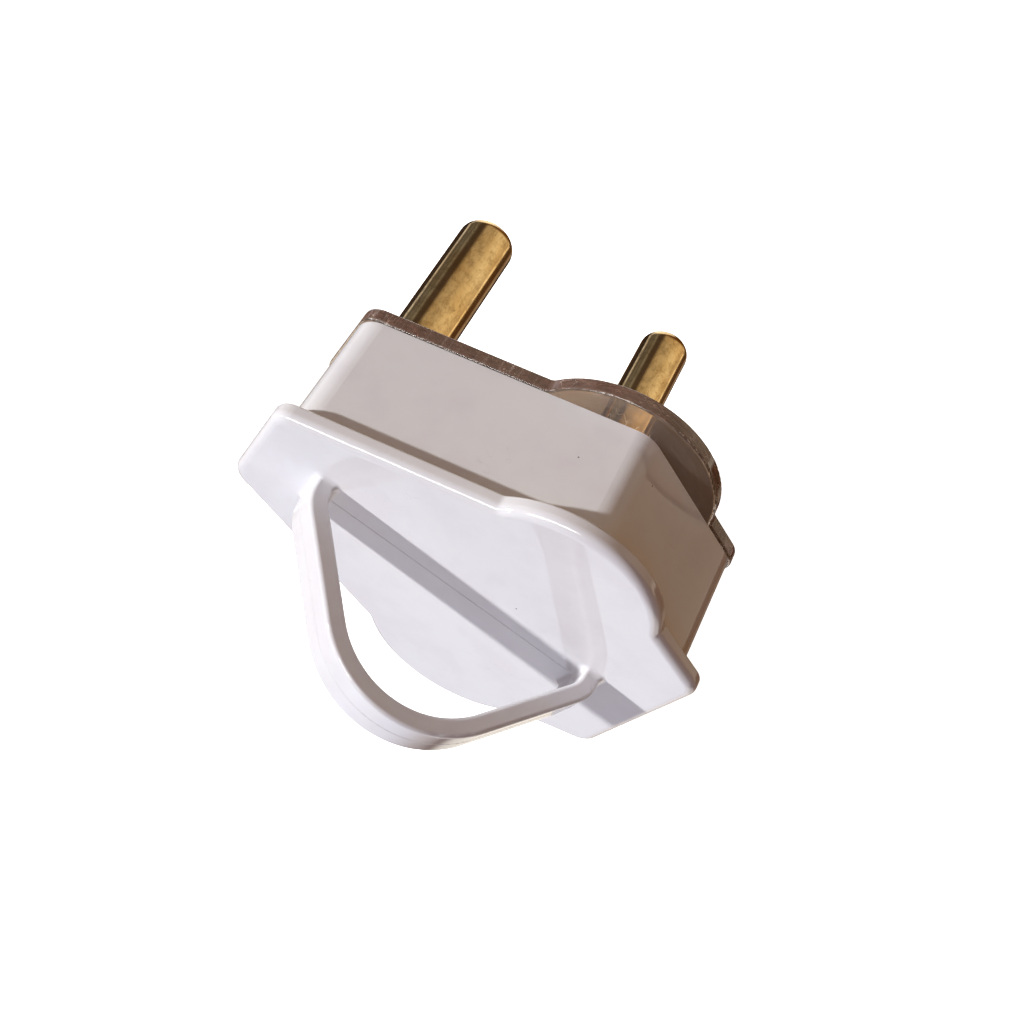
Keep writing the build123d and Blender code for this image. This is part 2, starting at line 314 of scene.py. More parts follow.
@dataclass(frozen=True)
class GlossWhiteMoulding:
    """White urea, compression moulded in a polished steel mould.

    It gives a hard cool white with a sharp, slightly wavy gloss, a few dark specks from the powder, fine
    handling scratches, and polishing lines along the strap of the pull loop.
    """

    name: str = "gloss_white_urea_moulding"
    white: str = "f0f0f3"
    shade: str = "eceaee"
    speck: str = "4a3f3a"
    scuff: str = "d6d4d8"
    mottle: Clouds = Clouds((7.0, 7.0, 7.0), 3.0, 0.55)
    mottle_ramp: Ramp = Ramp(0.38, 0.72)
    # Real handling scratches are some 0.005 mm wide, and these some 0.02 mm, so that they show
    scratches: Hairlines = Hairlines(2.1, 0.006, (1, 6, 1), (0.5, 0.3, 0.9), 0.6)
    scratch_share: float = 0.45
    scratch_dullness: float = 0.2
    # Specks of the powder are some 0.1 mm across, and these up to 0.28 mm, so that they show
    dots: Specks = Specks(5.2, 0.14, 0.4)
    smudges: Clouds = Clouds((11.0, 11.0, 11.0), 4.0, 0.6, 0.4)
    gloss_ramp: Ramp = Ramp(0.4, 0.7, 0.03, 0.07)
    wave: Relief = Relief(Clouds((6.5, 6.5, 6.5), 1.0), 0.006)
    peel: Relief = Relief(Clouds((1.5, 1.5, 1.5), 2.0, 0.45), 0.0009)
    # Real polishing lines are under 0.1 mm apart, and these 0.45 mm, so that they show
    strap_lines: Relief = Relief(Clouds((0.45, 40.0, 40.0), 3.0, 0.6), 0.0022)
    strap_from: float = -24.3

    def build(self) -> bpy.types.Material:
        """Makes the material.

        Returns:
            The finished material.
        """
        graph = FinishGraph(self.name)
        scratch = graph.hairlines(self.scratches)
        return graph.made(
            Base_Color=self.colour(graph, scratch),
            Roughness=self.gloss(graph, scratch),
            Normal=self.surface(graph),
            IOR=1.55,
            Subsurface_Weight=0.08,
            Subsurface_Scale=0.6 * MM,
            Subsurface_Radius=(1.0, 0.9, 0.8),
        )

    def colour(self, graph: FinishGraph, scratch: Socket) -> Socket:
        """Mottled white with pale scratches and dark specks.

        Args:
            graph: The material's nodes.
            scratch: 1 on a scratch, 0 elsewhere.

        Returns:
            The colour.
        """
        cloud = graph.clouds(self.mottle)
        shaded = graph.add("MapRange", {"Value": cloud, **self.mottle_ramp.inputs}, **SMOOTH)
        tones = {"A": to_linear(self.white), "B": to_linear(self.shade)}
        body = graph.add("Mix", {"Factor": shaded, **tones}, "Result", **COLOURS)
        faint = graph.add("Math", {0: scratch, 1: self.scratch_share}, operation="MULTIPLY")
        dots = graph.specks(self.dots)
        for place, colour in ((faint, self.scuff), (dots, self.speck)):
            layers = {"Factor": place, "A": body, "B": to_linear(colour)}
            body = graph.add("Mix", layers, "Result", **COLOURS)
        return body

    def gloss(self, graph: FinishGraph, scratch: Socket) -> Socket:
        """Sharp gloss, a little duller in smudges and on scratches.

        Args:
            graph: The material's nodes.
            scratch: 1 on a scratch, 0 elsewhere.

        Returns:
            The roughness.
        """
        smudge = graph.clouds(self.smudges)
        gloss = graph.add("MapRange", {"Value": smudge, **self.gloss_ramp.inputs}, **SMOOTH)
        return graph.add("Math", {0: scratch, 1: self.scratch_dullness, 2: gloss}, operation="MULTIPLY_ADD")

    def surface(self, graph: FinishGraph) -> Socket:
        """Slightly wavy skin, with lines along the loop's strap, which stands behind the back face.

        Args:
            graph: The material's nodes.

        Returns:
            The bent normal.
        """
        bent = graph.relief(self.wave, self.peel)
        level = graph.add("SeparateXYZ", {0: graph.millimetres}, "Y")
        on_strap = graph.add("Math", {0: level, 1: self.strap_from}, operation="LESS_THAN")
        lines = {"Height": graph.clouds(self.strap_lines.pattern), "Distance": self.strap_lines.depth * MM}
        return graph.add("Bump", {"Strength": on_strap, **lines, "Normal": bent}, "Normal")


@dataclass(frozen=True)
class SmokedClearMoulding:
    """Clear polycarbonate, injection moulded, with a light smoke tint.

    It gives edges in a deeper brown, which is painted shade, with painted glints along their two corners, a
    faint ripple and rings round the line pins where the melt flowed, painted pale in part as glints, hairline
    scratches and a little dust.
    """

    name: str = "smoked_clear_polycarbonate_moulding"
    tint: str = "e9dbcc"
    dark_tint: str = "e0cfbd"
    # Painted shade: the edge faces, picked by which way they face, get a deeper brown that stands in for the
    # darker look of light through the long edge
    painted_edge_shade: str = "bb9584"
    # The pale of dust, which also colours the painted glints
    dust: str = "f4efe8"
    tint_clouds: Clouds = Clouds((5.0, 5.0, 5.0))
    clearness: float = 0.95
    edge_clearness: float = 0.68
    edge_ramp: Ramp = Ramp(0.85, 0.4)
    edge_wear: Clouds = Clouds((1.4, 0.5, 1.4), 4.0, 0.65)
    thickness: float = 2.3
    arris: float = 0.2
    # Painted highlights: pale ragged glints along the edge's two corners, where less light is let through
    corner_glints: Clouds = Clouds((0.9, 0.4, 0.9), 4.0, 0.7)
    glint_ramp: Ramp = Ramp(0.5, 0.6)
    line_pin_offset: float = 12.7
    ring_pitch: float = 0.5
    ring_detail: float = 2.0
    ring_depth: float = 0.004
    ring_ramp: Ramp = Ramp(0.56, 0.7)
    ring_gaps: Clouds = Clouds((2.2, 2.2, 2.2), 3.0, 0.6)
    # Real scratches here are some 0.005 mm wide, and these some 0.03 mm, so that they show
    scratches: Hairlines = Hairlines(1.3, 0.012, (1, 1, 7), (0.4, 1.1, 0.2))
    # Dust is some 0.05 mm across, and these specks up to 0.18 mm, so that they show
    dust_specks: Specks = Specks(2.3, 0.09, 0.35)
    ring_share: float = 0.5
    mark_share: float = 0.5
    mark_haze: float = 0.6
    mark_dullness: float = 0.3
    haze: Clouds = Clouds((2.6, 2.6, 2.6), 4.0, 0.65)
    gloss_ramp: Ramp = Ramp(0.4, 0.75, 0.015, 0.07)
    ripple: Relief = Relief(Clouds((3.5, 3.5, 3.5), 1.0), 0.006)

    def build(self) -> bpy.types.Material:
        """Makes the material.

        Returns:
            The finished material.
        """
        graph = FinishGraph(self.name)
        edge = self.edge(graph)
        rings = self.rings(graph)
        scratch = graph.hairlines(self.scratches)
        dust = graph.specks(self.dust_specks)
        marks = self.marks(graph, self.painted_corner_glints(graph, edge), rings, scratch)
        return graph.made(
            Base_Color=self.colour(graph, edge, marks, dust),
            Roughness=self.gloss(graph, scratch, dust),
            IOR=1.585,
            Transmission_Weight=self.clear(graph, edge, marks),
            Normal=self.surface(graph, rings),
        )

    def edge(self, graph: FinishGraph) -> Socket:
        """Tells the plate's edge from its faces by which way the surface looks.

        Args:
            graph: The material's nodes.

        Returns:
            1 on the edge, 0 on the two faces.
        """
        facing = graph.add("TexCoord", out="Normal")
        along_pins = graph.add("SeparateXYZ", {0: facing}, "Y")
        flat = graph.add("Math", {0: along_pins}, operation="ABSOLUTE")
        return graph.add("MapRange", {"Value": flat, **self.edge_ramp.inputs}, **SMOOTH)

    def painted_corner_glints(self, graph: FinishGraph, edge: Socket) -> Socket:
        """Paints glints along the two corners of the edge, ragged by clouds: painted highlights.

        Args:
            graph: The material's nodes.
            edge: 1 on the plate's edge, 0 on its two faces.

        Returns:
            1 on a painted glint, 0 elsewhere.
        """
        level = graph.add("SeparateXYZ", {0: graph.millimetres}, "Y")
        near, far = 0.5 * self.arris, 1.5 * self.arris
        limits = Ramp(-far, -near)
        front = graph.add("MapRange", {"Value": level, **limits.inputs}, **SMOOTH)
        limits = Ramp(far - self.thickness, near - self.thickness)
        back = graph.add("MapRange", {"Value": level, **limits.inputs}, **SMOOTH)
        corner = graph.add("Math", {0: front, 1: back}, operation="MAXIMUM")
        torn = graph.clouds(self.corner_glints)
        corner_glints = graph.add("MapRange", {"Value": torn, **self.glint_ramp.inputs}, **SMOOTH)
        corner_glints = graph.add("Math", {0: corner_glints, 1: corner}, operation="MULTIPLY")
        return graph.add("Math", {0: corner_glints, 1: edge}, operation="MULTIPLY")

    def rings(self, graph: FinishGraph) -> Socket:
        """Draws uneven rings round each line pin, by the distance from its axis.

        Args:
            graph: The material's nodes.

        Returns:
            The pattern, from 0 to 1.
        """
        one_side = graph.add("VectorMath", {0: graph.millimetres}, operation="ABSOLUTE")
        middle = (self.line_pin_offset, 0.0, 0.0)
        from_pin = graph.add("VectorMath", {0: one_side, 1: middle}, operation="SUBTRACT")
        across = graph.add("VectorMath", {0: from_pin, 1: (1.0, 0.0, 1.0)}, operation="MULTIPLY")
        distance = graph.add("VectorMath", {0: across}, "Value", operation="LENGTH")
        sizes = {"W": distance, "Scale": 1 / self.ring_pitch, "Detail": self.ring_detail}
        return graph.add("TexNoise", sizes, "Fac", noise_dimensions="1D")

    def marks(self, graph: FinishGraph, corner_glints: Socket, rings: Socket, scratch: Socket) -> Socket:
        """Sums up the marks that make the surface pale: the rings where the melt flowed, which are also
        painted pale as glints, the scratches, and the painted glints on the edge's corners.

        Args:
            graph: The material's nodes.
            corner_glints: 1 on a painted glint along the edge's corners, 0 elsewhere.
            rings: The rings' pattern, from 0 to 1.
            scratch: 1 on a scratch, 0 elsewhere.

        Returns:
            How pale a place is, from 0 to 1.
        """
        # Partly painted highlight: the rings are relief where the melt flowed, and are also painted pale to
        # stand in for their glints
        flow_rings_and_glints = graph.add("MapRange", {"Value": rings, **self.ring_ramp.inputs}, **SMOOTH)
        broken = graph.clouds(self.ring_gaps)
        flow_rings_and_glints = graph.add("Math", {0: flow_rings_and_glints, 1: broken}, operation="MULTIPLY")
        fine = graph.add("Math", {0: flow_rings_and_glints, 1: self.ring_share, 2: scratch}, operation="MULTIPLY_ADD")
        shares = {0: fine, 1: self.mark_share, 2: corner_glints}
        return graph.add("Math", shares, operation="MULTIPLY_ADD", use_clamp=True)

    def colour(self, graph: FinishGraph, edge: Socket, marks: Socket, dust: Socket) -> Socket:
        """Smoke tint, with painted shade in a deeper brown on the edge faces, pale marks that are partly
        painted glints, and dust.

        Args:
            graph: The material's nodes.
            edge: 1 on the plate's edge, 0 on its two faces.
            marks: How pale the marks make a place, from 0 to 1.
            dust: 1 on a speck of dust, 0 elsewhere.

        Returns:
            The colour.
        """
        cloud = graph.clouds(self.tint_clouds)
        tones = {"A": to_linear(self.tint), "B": to_linear(self.dark_tint)}
        body = graph.add("Mix", {"Factor": cloud, **tones}, "Result", **COLOURS)
        # The edge's deeper brown is painted shade, and the pale of the marks is partly painted glint
        for place, colour in ((edge, self.painted_edge_shade), (marks, self.dust), (dust, self.dust)):
            layers = {"Factor": place, "A": body, "B": to_linear(colour)}
            body = graph.add("Mix", layers, "Result", **COLOURS)
        return body

    def clear(self, graph: FinishGraph, edge: Socket, marks: Socket) -> Socket:
        """Lets less light through at the worn edge, where the painted edge shade then shows, and less still
        through marks, which include the painted glints.

        Args:
            graph: The material's nodes.
            edge: 1 on the plate's edge, 0 on its two faces.
            marks: How pale the marks make a place, from 0 to 1.

        Returns:
            Share of the light that passes.
        """
        worn = graph.clouds(self.edge_wear)
        worn_edge = graph.add("Math", {0: edge, 1: worn}, operation="MULTIPLY")
        lost = 2 * (self.clearness - self.edge_clearness)
        clear = graph.add("Math", {0: worn_edge, 1: -lost, 2: self.clearness}, operation="MULTIPLY_ADD")
        shares = {0: marks, 1: -self.mark_haze, 2: clear}
        return graph.add("Math", shares, operation="MULTIPLY_ADD", use_clamp=True)

    def gloss(self, graph: FinishGraph, scratch: Socket, dust: Socket) -> Socket:
        """Glassy, with a little haze, dull on scratches and dust.

        Args:
            graph: The material's nodes.
            scratch: 1 on a scratch, 0 elsewhere.
            dust: 1 on a speck of dust, 0 elsewhere.

        Returns:
            The roughness.
        """
        haze = graph.clouds(self.haze)
        gloss = graph.add("MapRange", {"Value": haze, **self.gloss_ramp.inputs}, **SMOOTH)
        dull = graph.add("Math", {0: scratch, 1: dust}, operation="MAXIMUM")
        return graph.add("Math", {0: dull, 1: self.mark_dullness, 2: gloss}, operation="MULTIPLY_ADD")

    def surface(self, graph: FinishGraph, rings: Socket) -> Socket:
        """Faint ripple and flow rings.

        Args:
            graph: The material's nodes.
            rings: The rings' pattern, from 0 to 1.

        Returns:
            The bent normal.
        """
        bent = graph.relief(self.ripple)
        sizes = {"Strength": 1.0, "Distance": self.ring_depth * MM, "Height": rings}
        return graph.add("Bump", {**sizes, "Normal": bent}, "Normal")


@dataclass(frozen=True)
class TurnedBrass:
    """Brass rod, drawn, then turned and polished.

    It gives a warm mirror with fine lines along the rod, faint rings round it, and clouds and spots of
    tarnish.
    """

    name: str = "turned_polished_brass"
    bright: str = "e8cc98"
    deep: str = "d6b278"
    tarnish: str = "7d5c30"
    tone_clouds: Clouds = Clouds((3.4, 8.0, 3.4), 4.0, 0.6)
    tone_ramp: Ramp = Ramp(0.35, 0.7)
    patina: Clouds = Clouds((1.1, 1.6, 1.1), 6.0, 0.74)
    tarnish_ramp: Ramp = Ramp(0.4, 0.7, 0.0, 0.5)
    spots: Specks = Specks(2.1, 0.09, 0.3)
    # Real polishing scratches are some 0.005 mm wide, and these some 0.04 mm, so that they show
    scratches: Hairlines = Hairlines(0.7, 0.03, (1, 12, 1), (0.0, 0.0, 0.12))
    mark_share: float = 0.5
    scratch_dullness: float = 0.12
    gloss_ramp: Ramp = Ramp(0.4, 0.75, 0.09, 0.22)
    # Real drawing lines, turning rings and grain are 0.02 to 0.1 mm apart, and these coarser, to show
    drawn: Relief = Relief(Clouds((0.22, 30.0, 0.22), 2.0, 0.6), 0.004)
    turned: Relief = Relief(Clouds((9.0, 0.16, 9.0), 1.0), 0.0004)
    grain: Relief = Relief(Clouds((0.3, 0.3, 0.3), 3.0, 0.65), 0.0016)
    dents: Relief = Relief(Clouds((1.1, 1.65, 1.1)), 0.0016)

    def build(self) -> bpy.types.Material:
        """Makes the material.

        Returns:
            The finished material.
        """
        graph = FinishGraph(self.name)
        patina = graph.clouds(self.patina)
        scratch = graph.hairlines(self.scratches)
        gloss = graph.add("MapRange", {"Value": patina, **self.gloss_ramp.inputs}, **SMOOTH)
        dull = graph.add("Math", {0: scratch, 1: self.scratch_dullness, 2: gloss}, operation="MULTIPLY_ADD")
        return graph.made(
            Base_Color=self.colour(graph, patina, scratch),
            Metallic=1.0,
            Roughness=dull,
            Normal=graph.relief(self.drawn, self.turned, self.grain, self.dents),
        )

    def colour(self, graph: FinishGraph, patina: Socket, scratch: Socket) -> Socket:
        """Two tones of brass, with tarnish in clouds, spots and scratches.

        Args:
            graph: The material's nodes.
            patina: The patina's clouds, from 0 to 1.
            scratch: 1 on a scratch, 0 elsewhere.

        Returns:
            The colour.
        """
        cloud = graph.clouds(self.tone_clouds)
        shaded = graph.add("MapRange", {"Value": cloud, **self.tone_ramp.inputs}, **SMOOTH)
        tones = {"A": to_linear(self.bright), "B": to_linear(self.deep)}
        body = graph.add("Mix", {"Factor": shaded, **tones}, "Result", **COLOURS)
        patch = graph.add("MapRange", {"Value": patina, **self.tarnish_ramp.inputs}, **SMOOTH)
        spots = graph.specks(self.spots)
        marks = graph.add("Math", {0: spots, 1: scratch}, operation="MAXIMUM")
        shares = {0: marks, 1: self.mark_share, 2: patch}
        dark = graph.add("Math", shares, operation="MULTIPLY_ADD", use_clamp=True)
        layers = {"Factor": dark, "A": body, "B": to_linear(self.tarnish)}
        return graph.add("Mix", layers, "Result", **COLOURS)


@dataclass(frozen=True)
class CloudedFinish:
    """A finish of two tones in clouds, with duller patches and an even grain.

    Attributes:
        name: The material's name.
        light: Its light tone.
        dark: Its dark tone.
        tone_clouds: Where the tones lie.
        gloss_clouds: Where the duller patches lie.
        gloss_ramp: Its roughness over the patches' pattern.
        grain: Its grain.
        constants: The shader's numbers that don't vary, by the input's name, with _ for each space.
    """

    name: str
    light: str
    dark: str
    tone_clouds: Clouds
    gloss_clouds: Clouds
    gloss_ramp: Ramp
    grain: Relief
    constants: tuple[tuple[str, float], ...]

    def build(self) -> bpy.types.Material:
        """Makes the material.

        Returns:
            The finished material.
        """
        graph = FinishGraph(self.name)
        tones = {"A": to_linear(self.light), "B": to_linear(self.dark)}
        cloud = graph.clouds(self.tone_clouds)
        body = graph.add("Mix", {"Factor": cloud, **tones}, "Result", **COLOURS)
        patches = graph.clouds(self.gloss_clouds)
        gloss = graph.add("MapRange", {"Value": patches, **self.gloss_ramp.inputs}, **SMOOTH)
        bent = graph.relief(self.grain)
        return graph.made(Base_Color=body, Roughness=gloss, Normal=bent, **dict(self.constants))


@dataclass(frozen=True)
class PlatedSteel(CloudedFinish):
    """Steel screw, zinc plated. It gives a cool metal with soft grain and duller clouds."""

    name: str = "zinc_plated_steel"
    light: str = "cfd0d2"
    dark: str = "9a9ca0"
    tone_clouds: Clouds = Clouds((0.8, 0.8, 0.8), 4.0, 0.65)
    gloss_clouds: Clouds = Clouds((0.5, 0.5, 0.5), 3.0)
    gloss_ramp: Ramp = Ramp(0.3, 0.7, 0.2, 0.42)
    # Real plating grain is about 0.01 mm, and this 0.07 mm, so that it shows in a close view
    grain: Relief = Relief(Clouds((0.07, 0.07, 0.07)), 0.0012)
    constants: tuple[tuple[str, float], ...] = (("Metallic", 1.0),)


@dataclass(frozen=True)
class NylonMoulding(CloudedFinish):
    """Natural nylon, injection moulded. It gives an off-white that is matt and a little translucent."""

    name: str = "matt_nylon_moulding"
    light: str = "dedcd6"
    dark: str = "cfccc4"
    tone_clouds: Clouds = Clouds((2.2, 2.2, 2.2), 3.0)
    gloss_clouds: Clouds = Clouds((1.0, 1.0, 1.0), 3.0)
    gloss_ramp: Ramp = Ramp(0.3, 0.7, 0.42, 0.58)
    grain: Relief = Relief(Clouds((0.12, 0.12, 0.12)), 0.004)
    constants: tuple[tuple[str, float], ...] = (("Subsurface_Weight", 0.15), ("Subsurface_Scale", 0.8 * MM))


@dataclass(frozen=True)
class PaleTable:
    """Plain pale floor, lit through so that it stays pale under the object."""

    name: str = "pale_studio_floor"
    pale: str = "fbfbfb"
    shade: str = "f7f7f8"
    tone_clouds: Clouds = Clouds((60.0, 60.0, 60.0), 3.0)
    glow: float = 1.1

    def build(self) -> bpy.types.Material:
        """Makes the material.

        Returns:
            The finished material.
        """
        graph = FinishGraph(self.name)
        tones = {"A": to_linear(self.pale), "B": to_linear(self.shade)}
        cloud = graph.clouds(self.tone_clouds)
        body = graph.add("Mix", {"Factor": cloud, **tones}, "Result", **COLOURS)
        return graph.made(Base_Color=body, Roughness=0.8, Emission_Color=body, Emission_Strength=self.glow)


def dress(node: str, material: bpy.types.Material) -> None:
    """Gives a CAD node its finished material.

    Args:
        node: The node's name.
        material: What it is made of.
    """
    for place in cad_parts[node].material_slots:
        place.material = material
    LOG.info("dressed %s in %s", node, material.name)


class Ends(Enum):
    """How a tube's path ends."""

    JOINED = "joined"
    TAPERED = "tapered"


def rounded_path(
    corners: np.ndarray, radii: np.ndarray, ends: Ends, steps: int = 24
) -> tuple[np.ndarray, np.ndarray]:
    """Flat path through corners, each rounded by an arc that touches both of its sides.

    The arc's centre lies on the corner's bisector, at the radius over the cosine of half the turn, and its
    points are the centre plus the radius times the unit vector at evenly spaced angles.

    Args:
        corners: Corner points, one row each, anticlockwise.
        radii: Radius at each corner. The two ends of an open path have none.
        ends: Whether the last corner leads back to the first.
        steps: Points on each arc.

    Returns:
        The path's points and its unit normals, which point out of the turn.
    """
    if ends is Ends.JOINED:
        before = np.roll(corners, 1, axis=0)
        after = np.roll(corners, -1, axis=0)
        middle = corners
    else:
        before = corners[:-2]
        after = corners[2:]
        middle = corners[1:-1]
    came = (middle - before) / np.linalg.norm(middle - before, axis=1, keepdims=True)
    goes = (after - middle) / np.linalg.norm(after - middle, axis=1, keepdims=True)
    turn = np.arctan2(came[:, 0] * goes[:, 1] - came[:, 1] * goes[:, 0], np.sum(came * goes, axis=1))
    inward = goes - came
    inward /= np.linalg.norm(inward, axis=1, keepdims=True)
    centres = middle + inward * (radii / np.cos(turn / 2))[:, None]
    start = np.arctan2(came[:, 1], came[:, 0]) - np.pi / 2
    angles = start[:, None] + turn[:, None] * np.linspace(0, 1, steps)[None, :]
    normals = np.stack([np.cos(angles), np.sin(angles)], axis=-1)
    points = centres[:, None, :] + radii[:, None, None] * normals
    points = points.reshape(-1, 2)
    normals = normals.reshape(-1, 2)
    if ends is Ends.TAPERED:
        points = np.concatenate([corners[:1], points, corners[-1:]])
        normals = np.concatenate([normals[:1], normals, normals[-1:]])
    return points, normals


def tube_mesh(name: str, rings: np.ndarray, ends: Ends) -> bpy.types.Mesh:
    """Mesh of a tube from its rings of points, joined ring to ring by four-sided faces.

    Args:
        name: The mesh's name.
        rings: Points in millimetres, by ring, place on the ring and axis.
        ends: Whether the last ring leads back to the first. Otherwise both ends are closed by one face.

    Returns:
        The mesh, in metres.
    """
    count, around, _ = rings.shape
    rows = np.arange(count if ends is Ends.JOINED else count - 1)
    columns = np.arange(around)
    here = rows[:, None] * around + columns[None, :]
    beside = rows[:, None] * around + (columns[None, :] + 1) % around
    ahead = ((rows[:, None] + 1) % count) * around + columns[None, :]
    across = ((rows[:, None] + 1) % count) * around + (columns[None, :] + 1) % around
    faces = np.stack([here, beside, across, ahead], axis=-1).reshape(-1, 4).tolist()
    if ends is Ends.TAPERED:
        faces.append(columns[::-1].tolist())
        faces.append((columns + (count - 1) * around).tolist())
    mesh = bpy.data.meshes.new(name)
    mesh.from_pydata((rings.reshape(-1, 3) * MM).tolist(), [], faces)
    mesh.polygons.foreach_set("use_smooth", np.ones(len(mesh.polygons), dtype=bool))
    mesh.update()
    return mesh


@dataclass
class Cover:
    """White moulded cover with its pull loop, and the parting line that the mould leaves round the loop.

    The loop's sizes are those of the solid, in millimetres.
    """

    node: str = "body_shell"
    slot: str = "white_moulding"
    loop_span: float = 45.6
    loop_reach: float = 21.8
    loop_thickness: float = 2.6
    loop_centre_height: float = 6.8
    loop_lean: float = 39.6
    knee_height: float = 3.2
    knee_round: float = 6.0
    foot_round: float = 0.9
    ridge_half_width: float = 0.11
    ridge_height: float = 0.035
    ridge_taper: float = 0.05
    ridge_points: int = 10

    def build(self) -> None:
        """Dresses the moulding and adds the parting line."""
        white = GlossWhiteMoulding().build()
        dress(self.node, white)
        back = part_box(self.node)[0].y / MM + self.loop_reach
        top = self.loop_centre_height + self.loop_span / 2
        bottom = self.loop_centre_height - self.loop_span / 2
        knee = back - self.knee_height
        lean = np.radians(self.loop_lean)
        peak = knee - self.loop_span / 2 / np.tan(lean)
        nose = (back - self.loop_reach - peak) / (1 / np.sin(lean) - 1)

        outline = np.array(
            [[back, top], [knee, top], [peak, self.loop_centre_height], [knee, bottom], [back, bottom]]
        )
        radii = np.array([self.knee_round, nose, self.knee_round])
        outside = outline.copy()
        outside[[0, -1], 0] -= self.foot_round
        points, normals = rounded_path(outside, radii, Ends.TAPERED)
        self.add_ridge("parting_line_outside_loop", points, normals, Ends.TAPERED, white)

        thick = self.loop_thickness
        slope_shift = thick / np.sin(lean)
        knee_shift = thick * np.tan((np.pi / 2 - lean) / 2)
        inner = outline + np.array(
            [[0, -thick], [knee_shift, -thick], [slope_shift, 0], [knee_shift, thick], [0, thick]]
        )
        inner_radii = np.array([self.foot_round, *(radii - thick), self.foot_round])
        points, normals = rounded_path(inner, inner_radii, Ends.JOINED)
        self.add_ridge("parting_line_inside_loop", points, -normals, Ends.JOINED, white)

    def add_ridge(
        self, name: str, points: np.ndarray, normals: np.ndarray, ends: Ends, white: bpy.types.Material
    ) -> None:
        """Adds a low rounded ridge along a path in the plane between the two sides.

        A point of the ridge is the path's point, plus the sine of the angle round the ridge times its height
        along the normal, plus the cosine of that angle times its half width across. Open ends taper off.

        Args:
            name: The piece's name.
            points: The path's points, along Y and Z.
            normals: The path's unit normals, pointing out of the surface.
            ends: Whether the path joins up.
            white: The cover's material.
        """
        angles = np.linspace(0, 2 * np.pi, self.ridge_points, endpoint=False)
        size = np.ones(len(points))
        if ends is Ends.TAPERED:
            size[[0, -1]] = self.ridge_taper
        across = size[:, None] * self.ridge_half_width * np.cos(angles)[None, :]
        out = size[:, None] * self.ridge_height * np.sin(angles)[None, :]
        flat = points[:, None, :] + out[:, :, None] * normals[:, None, :]
        rings = np.concatenate([across[:, :, None], flat], axis=2)
        mesh = tube_mesh(name, rings, ends)
        mesh.materials.append(white)
        ridge = bpy.data.objects.new(name, mesh)
        bpy.context.scene.collection.objects.link(ridge)
        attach(ridge, "root")
        LOG.info("added %s with %d faces", name, len(mesh.polygons))


@dataclass
class PinPlate:
    """Clear moulded plate that holds the pins."""

    node: str = "pin_plate"

    def build(self) -> None:
        """Dresses the plate."""
        dress(self.node, SmokedClearMoulding().build())


@dataclass
class Pins:
    """The three brass pins."""

    nodes: tuple[str, ...] = ("earth_pin", "live_pin", "neutral_pin")

    def build(self) -> None:
        """Dresses the pins."""
        brass = TurnedBrass().build()
        for node in self.nodes:
            dress(node, brass)


@dataclass
class Fasteners:
    """Screws, threaded inserts and the cord's grip bar."""

    brass_nodes: tuple[str, ...] = (
        "earth_terminal_screw",
        "live_terminal_screw",
        "neutral_terminal_screw",
        "cover_insert_live_side",
        "cover_insert_neutral_side",
    )
    steel_nodes: tuple[str, ...] = (
        "cover_screw_live_side",
        "cover_screw_neutral_side",
        "grip_screw_live_side",
        "grip_screw_neutral_side",
    )
    nylon_nodes: tuple[str, ...] = ("cord_grip_bar",)

    def build(self) -> None:
        """Dresses each kind in its own finish."""
        brass = TurnedBrass(
            name="turned_screw_brass",
            turned=Relief(Clouds((9.0, 0.09, 9.0), 1.0), 0.0004),
            gloss_ramp=Ramp(0.4, 0.75, 0.2, 0.4),
        ).build()
        kinds = (
            (self.brass_nodes, brass),
            (self.steel_nodes, PlatedSteel().build()),
            (self.nylon_nodes, NylonMoulding().build()),
        )
        for nodes, material in kinds:
            for node in nodes:
                dress(node, material)


@dataclass(frozen=True)
class Band:
    """One place on the ring of reflections round the pins.

    Attributes:
        degrees: Angle about the pins' direction, from +X towards +Z.
        colour: Light that comes from there.
    """

    degrees: float
    colour: Triple


@dataclass(frozen=True)
class Patch:
    """A soft patch of light in the surroundings, round or long and thin.

    Attributes:
        toward: Direction of its middle.
        full: Cosine of the angle from the middle up to which it has its full brightness.
        gone: Cosine of the angle from the middle at which it ends.
        colour: Its light.
        thin_along: Direction across it in which it is thin, or None where it is round.
        thin_full: Sine of the angle to each side in that direction up to which it has its full brightness.
        thin_gone: Sine of the angle to each side in that direction at which it ends.
    """

    toward: Triple
    full: float
    gone: float
    colour: Triple
    thin_along: Triple | None = None
    thin_full: float = 0.10
    thin_gone: float = 0.14


